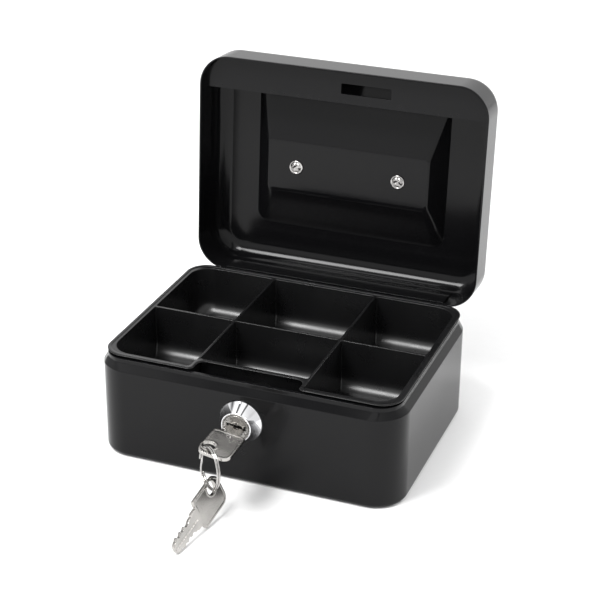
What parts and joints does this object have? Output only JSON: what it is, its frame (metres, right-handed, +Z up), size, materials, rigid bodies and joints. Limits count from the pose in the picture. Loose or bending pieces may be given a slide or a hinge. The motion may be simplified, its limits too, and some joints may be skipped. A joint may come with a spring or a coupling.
{
  "type": "cash box",
  "caption": "Small steel cash box with its lid open, a lift-out coin tray, a key lock on the front and a spare key on a ring.",
  "frame": {"origin": "centre of the underside of the base", "axes": "+X to the right seen from the lock side, +Y to the rear (hinge side), +Z up"},
  "size_m": [0.153, 0.2203, 0.163],
  "materials": {
    "paint": "semi-gloss black stoved enamel",
    "tray": "satin black moulded plastic",
    "chrome": "polished",
    "nickel": "bright nickel plate",
    "zinc": "zinc plate",
    "brass": "plain"
  },
  "bodies": {
    "base": {"base_shell": "paint", "hinge_leaf_base": "paint", "hinge_pin": "zinc", "lock_housing": "zinc", "lock_rosette": "chrome", "lock_nut": "zinc", "lock_washer": "zinc"},
    "plug": {"lock_plug": "nickel", "lock_cam": "zinc", "plug_clip": "zinc", "cam_clip": "zinc", "wafer_1": "brass", "wafer_2": "brass", "wafer_3": "brass", "wafer_4": "brass"},
    "key": {"key_main": "nickel"},
    "ring": {"split_ring": "nickel"},
    "spare": {"key_spare": "nickel"},
    "lid": {"lid_shell": "paint", "latch_strip": "paint", "hinge_leaf_lid": "paint", "post_left": "chrome", "washer_left": "zinc", "post_right": "chrome", "washer_right": "zinc"},
    "handle": {"handle": "chrome"},
    "tray": {"coin_tray": "tray"}
  },
  "joints": [
    {"name": "lid_hinge", "type": "hinge", "parent": "base", "child": "lid", "pos_m": [0, 0.06037, 0.04551], "axis": [-1, 0, 0], "range_deg": [-94.07, 0]},
    {"name": "handle_swing", "type": "hinge", "parent": "lid", "child": "handle", "pos_m": [0, 0.08995, 0.10353], "axis": [1, 0, 0], "range_deg": [0, 90]},
    {"name": "tray_lift", "type": "slide", "parent": "base", "child": "tray", "axis": [0, 0, 1], "range_m": [0, 0.06]},
    {"name": "plug_turn", "type": "hinge", "parent": "base", "child": "plug", "pos_m": [0, -0.0576, 0.033], "axis": [0, -1, 0], "range_deg": [0, 90]},
    {"name": "key_slide", "type": "slide", "parent": "plug", "child": "key", "axis": [0, -1, 0], "range_m": [0, 0.024]},
    {"name": "ring_swing", "type": "hinge", "parent": "key", "child": "ring", "pos_m": [-0.00133, -0.08887, 0.03496], "axis": [-0.7369, 0.676, 0], "range_deg": [0, 5]},
    {"name": "spare_swing", "type": "hinge", "parent": "ring", "child": "spare", "pos_m": [-0.0023, -0.08968, 0.01582], "axis": [-0.9412, 0.1574, -0.299], "range_deg": [0, 35]}
  ]
}
